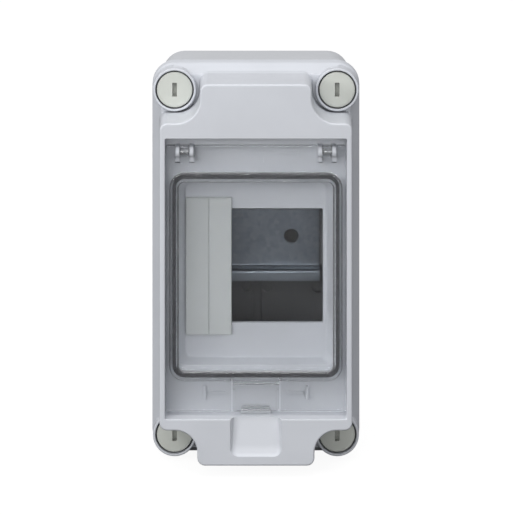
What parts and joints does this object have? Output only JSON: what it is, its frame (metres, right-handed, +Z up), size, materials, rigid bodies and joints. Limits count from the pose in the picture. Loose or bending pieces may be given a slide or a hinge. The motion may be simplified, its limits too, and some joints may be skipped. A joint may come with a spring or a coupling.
{
  "type": "modular dc combiner enclosure",
  "caption": "Sealed wall-mounted enclosure for DIN rail devices: deep base, raised cover on quarter-turn corner screws, clear hinged door with a latch tongue and a blanking plate.",
  "frame": {"origin": "centre of the back face of the base, on the wall, midway between the four wall holes", "axes": "+Z up the wall, +X to the right seen from the front, -Y out of the wall towards the user"},
  "size_m": [0.085, 0.085, 0.16],
  "materials": {
    "grey_plastic": "fine satin moulding",
    "blank_plastic": "satin moulding",
    "screw_plastic": "smooth moulding",
    "washer_plastic": "natural nylon",
    "carrier_plastic": "satin moulding",
    "clear_plastic": "clear polycarbonate",
    "seal_rubber": "moulded cord",
    "seal_foam": "foamed in place",
    "zinc_steel": "zinc plated sheet",
    "screw_steel": "zinc plated",
    "brass": "sawn extruded bar"
  },
  "bodies": {
    "enclosure": {"base_box": "grey_plastic", "din_rail": "zinc_steel", "rail_screw": "screw_steel", "terminal_carrier": "carrier_plastic", "carrier_screws": "screw_steel", "earth_bar": "brass", "clamp_screws": "screw_steel"},
    "front_cover": {"cover": "grey_plastic", "base_seal": "seal_foam", "screw_retainers": "washer_plastic", "hinge_pin_left": "clear_plastic", "hinge_pin_right": "clear_plastic"},
    "clear_door": {"door": "clear_plastic", "door_seal": "seal_rubber"},
    "latch": {"latch_tongue": "clear_plastic"},
    "blank": {"blanking_plate": "blank_plastic"},
    "screw_tl": {"cover_screw_top_left": "screw_plastic"},
    "screw_tr": {"cover_screw_top_right": "screw_plastic"},
    "screw_bl": {"cover_screw_bottom_left": "screw_plastic"},
    "screw_br": {"cover_screw_bottom_right": "screw_plastic"}
  },
  "joints": [
    {"name": "cover_lift", "type": "slide", "parent": "enclosure", "child": "front_cover", "axis": [0, -1, 0], "range_m": [0, 0.08]},
    {"name": "door_hinge", "type": "hinge", "parent": "front_cover", "child": "clear_door", "pos_m": [0, -0.0795, 0.048], "axis": [-1, 0, 0], "range_deg": [0, 115]},
    {"name": "latch_flex", "type": "hinge", "parent": "clear_door", "child": "latch", "pos_m": [0, -0.0786, -0.045], "axis": [-1, 0, 0], "range_deg": [0, 8], "stiffness_Nm_per_rad": 0.4},
    {"name": "blank_slide", "type": "slide", "parent": "front_cover", "child": "blank", "axis": [1, 0, 0], "range_m": [0, 0.036]},
    {"name": "screw_turn_tl", "type": "hinge", "parent": "front_cover", "child": "screw_tl", "pos_m": [-0.033, -0.06, 0.0699], "axis": [0, -1, 0], "range_deg": [0, 90]},
    {"name": "screw_turn_tr", "type": "hinge", "parent": "front_cover", "child": "screw_tr", "pos_m": [0.033, -0.06, 0.0699], "axis": [0, -1, 0], "range_deg": [0, 90]},
    {"name": "screw_turn_bl", "type": "hinge", "parent": "front_cover", "child": "screw_bl", "pos_m": [-0.033, -0.06, -0.0699], "axis": [0, -1, 0], "range_deg": [0, 90]},
    {"name": "screw_turn_br", "type": "hinge", "parent": "front_cover", "child": "screw_br", "pos_m": [0.033, -0.06, -0.0699], "axis": [0, -1, 0], "range_deg": [0, 90]}
  ]
}
